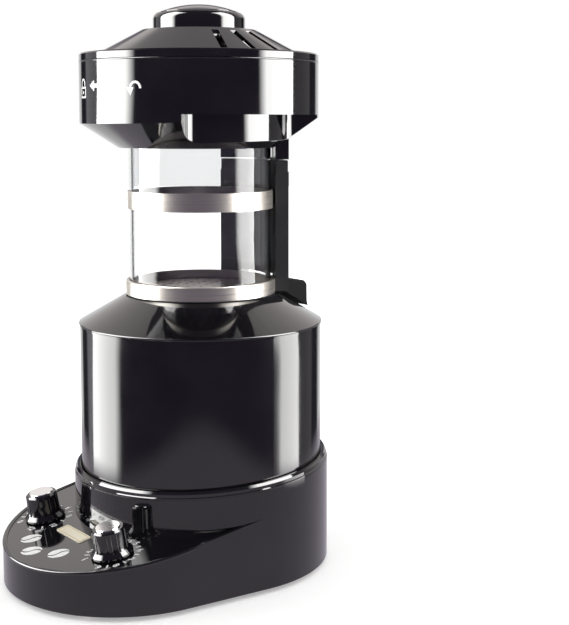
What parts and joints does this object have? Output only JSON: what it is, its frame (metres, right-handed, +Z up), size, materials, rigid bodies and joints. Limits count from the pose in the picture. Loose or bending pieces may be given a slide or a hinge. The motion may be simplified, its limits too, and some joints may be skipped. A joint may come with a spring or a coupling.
{
  "type": "coffee bean roaster",
  "caption": "Countertop hot-air coffee bean roaster: glass chamber on a drum with a front control lobe, under a tilting chaff-collecting head with a vented lid.",
  "frame": {"origin": "on the table, under the middle of the whole object's box", "axes": "+Z up, control lobe towards -Y, column and mains gland towards +Y, +X to the right seen from the front"},
  "size_m": [0.144, 0.1918, 0.314],
  "materials": {
    "gloss_black": "high gloss black",
    "satin_black": "satin black",
    "steel": "brushed",
    "plated": "silver trim",
    "glass": "clear heat-proof glass",
    "rubber": "matte",
    "label": "cream",
    "board": "lacquered green",
    "mica": "mica",
    "wire": "heating wire"
  },
  "bodies": {
    "base": {"base_shell": "gloss_black", "base_trim_ring": "gloss_black", "control_panel": "gloss_black", "label_plate": "label", "bottom_cover": "satin_black", "rubber_feet": "rubber", "cover_screws": "steel", "cord_gland": "satin_black", "drum_shell": "gloss_black", "shoulder_cone": "gloss_black", "blower_housing": "satin_black", "motor_mount": "plated", "fan_motor": "steel", "heater_duct": "steel", "heater_frame": "mica", "heater_coil": "wire", "thermal_cutout": "mica", "control_board": "board", "roast_pot": "plated", "timer_pot": "plated"},
    "fan": {"fan_impeller": "plated"},
    "roast_dial": {"roast_knob": "satin_black", "roast_knob_cap": "plated", "roast_shaft": "steel"},
    "timer_dial": {"timer_knob": "satin_black", "timer_knob_cap": "plated", "timer_shaft": "steel"},
    "chamber": {"chamber_collar": "steel", "chamber_seal": "rubber", "chamber_floor": "steel", "glass_foot_seal": "rubber", "glass_cylinder": "glass", "band_clamp": "steel", "band_screw": "steel", "back_column": "gloss_black", "column_foot": "gloss_black", "column_cap": "gloss_black", "hinge_pin": "steel", "lever_pin": "steel"},
    "lever": {"release_lever": "gloss_black"},
    "head": {"chaff_cup": "gloss_black", "hinge_arm": "gloss_black", "chimney_tube": "steel", "cup_gasket": "rubber"},
    "lock": {"lock_ring": "gloss_black"},
    "lid": {"vent_lid": "gloss_black", "chaff_screen": "steel", "lid_knob": "gloss_black", "lid_knob_screw": "steel"}
  },
  "joints": [
    {"name": "fan_spin", "type": "hinge", "parent": "base", "child": "fan", "pos_m": [0, 0.0209, 0.03], "axis": [0, 0, 1], "continuous": true},
    {"name": "roast_dial_turn", "type": "hinge", "parent": "base", "child": "roast_dial", "pos_m": [0.0372, -0.0598, 0.02876], "axis": [0, -0.1702, 0.9854], "range_deg": [-150, 150]},
    {"name": "timer_dial_turn", "type": "hinge", "parent": "base", "child": "timer_dial", "pos_m": [-0.0372, -0.0598, 0.02876], "axis": [0, -0.1702, 0.9854], "range_deg": [-150, 150]},
    {"name": "chamber_lift", "type": "slide", "parent": "base", "child": "chamber", "axis": [0, 0, 1], "range_m": [0, 0.06]},
    {"name": "lever_flip", "type": "hinge", "parent": "chamber", "child": "lever", "pos_m": [0, 0.0654, 0.15752], "axis": [1, 0, 0], "range_deg": [0, 35]},
    {"name": "head_tilt", "type": "hinge", "parent": "chamber", "child": "head", "pos_m": [0, 0.0709, 0.22452], "axis": [-1, 0, 0], "range_deg": [0, 100]},
    {"name": "lock_twist", "type": "hinge", "parent": "head", "child": "lock", "pos_m": [0, 0.0209, 0.2844], "axis": [0, 0, 1], "range_deg": [0, 25]},
    {"name": "lid_lift", "type": "slide", "parent": "lock", "child": "lid", "axis": [0, 0, 1], "range_m": [0, 0.04]}
  ]
}
